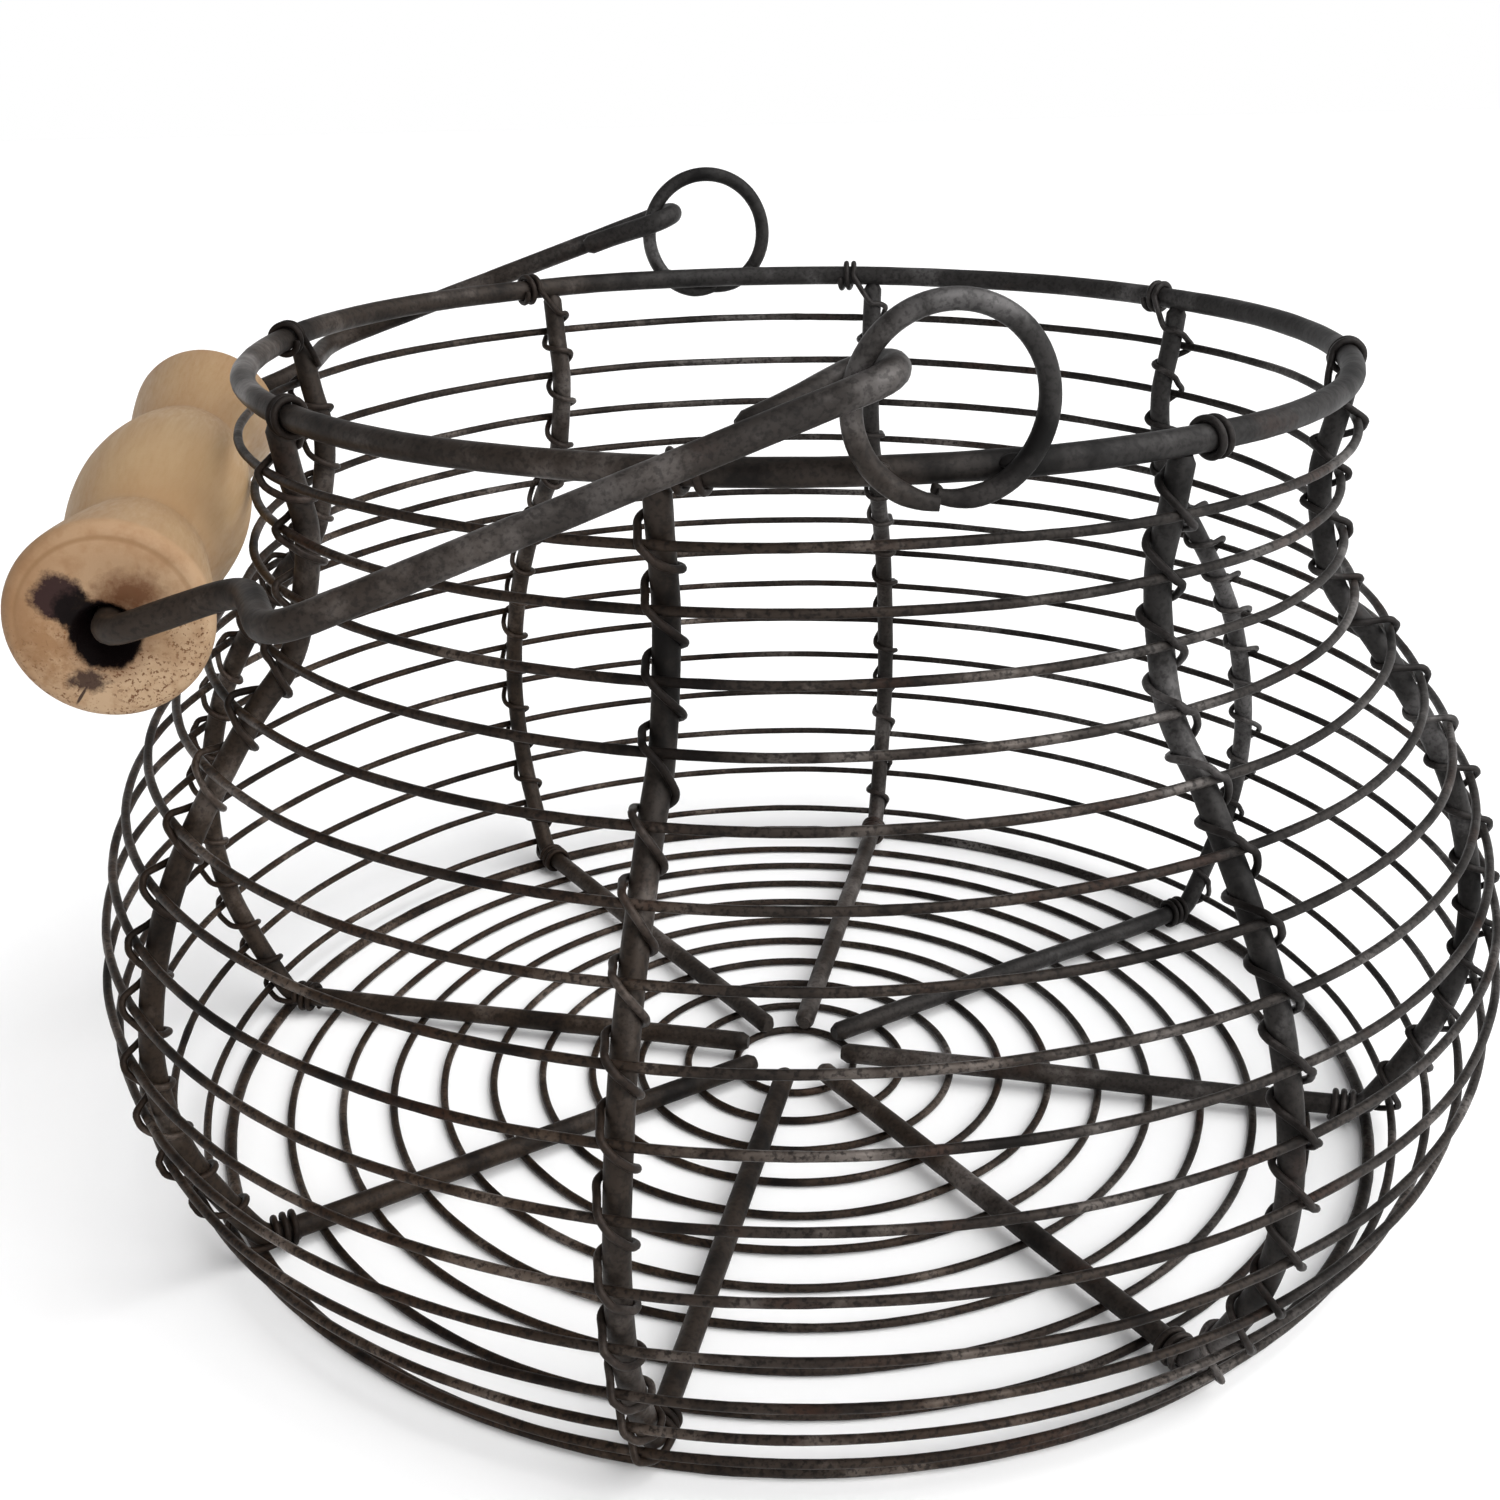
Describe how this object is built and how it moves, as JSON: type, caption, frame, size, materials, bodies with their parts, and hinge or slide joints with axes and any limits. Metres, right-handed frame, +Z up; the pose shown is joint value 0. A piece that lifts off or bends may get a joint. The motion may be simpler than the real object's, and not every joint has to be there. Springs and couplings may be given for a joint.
{
  "type": "wire egg basket",
  "caption": "Round pot-bellied wire basket with hoops lashed to stout ribs, ear rings at the rim and a swinging wire bail with a turned wooden grip.",
  "frame": {"origin": "on the ground under the middle of the floor, which is also the bottom centre of the whole object's box", "axes": "+Z up; +Y along the line through both ear rings, which is the bail's axis; the bail hangs down towards -X"},
  "size_m": [0.227, 0.227, 0.1492],
  "materials": {
    "stout_wire": "matt dark iron wire, worn grey on its high sides, with a little brown rust",
    "thin_wire": "matt dark grey-brown wire, slightly hammered, with light rust",
    "grip_wood": "pale turned wood, waxed satin, grain along the grip, scorched round the bore"
  },
  "bodies": {
    "basket": {"rim": "stout_wire", "hoop_01": "thin_wire", "hoop_02": "thin_wire", "hoop_03": "thin_wire", "hoop_04": "thin_wire", "hoop_05": "thin_wire", "hoop_06": "thin_wire", "hoop_07": "thin_wire", "hoop_08": "thin_wire", "hoop_09": "thin_wire", "hoop_10": "thin_wire", "hoop_11": "thin_wire", "hoop_12": "thin_wire", "hoop_13": "thin_wire", "hoop_14": "thin_wire", "hoop_15": "thin_wire", "base_ring": "stout_wire", "floor_hoop_1": "thin_wire", "floor_hoop_2": "thin_wire", "floor_hoop_3": "thin_wire", "floor_hoop_4": "thin_wire", "floor_hoop_5": "thin_wire", "floor_hoop_6": "thin_wire", "floor_hoop_7": "thin_wire", "floor_hoop_8": "thin_wire", "floor_hoop_9": "thin_wire", "centre_ring": "thin_wire", "rib_1": "stout_wire", "rib_2": "stout_wire", "rib_3": "stout_wire", "rib_4": "stout_wire", "rib_5": "stout_wire", "rib_6": "stout_wire", "rib_7": "stout_wire", "rib_8": "stout_wire", "lashing_1": "thin_wire", "lashing_2": "thin_wire", "lashing_3": "thin_wire", "lashing_4": "thin_wire", "lashing_5": "thin_wire", "lashing_6": "thin_wire", "lashing_7": "thin_wire", "lashing_8": "thin_wire", "ear_ring_front": "stout_wire", "ear_ring_back": "stout_wire"},
    "bail": {"bail": "stout_wire"},
    "grip": {"grip": "grip_wood"}
  },
  "joints": [
    {"name": "bail_swing", "type": "hinge", "parent": "basket", "child": "bail", "pos_m": [0, 0, 0.1367], "axis": [0, 1, 0], "range_deg": [0, 183]},
    {"name": "grip_spin", "type": "hinge", "parent": "bail", "child": "grip", "pos_m": [-0.09547, 0, 0.1103], "axis": [0, 1, 0], "continuous": true}
  ]
}
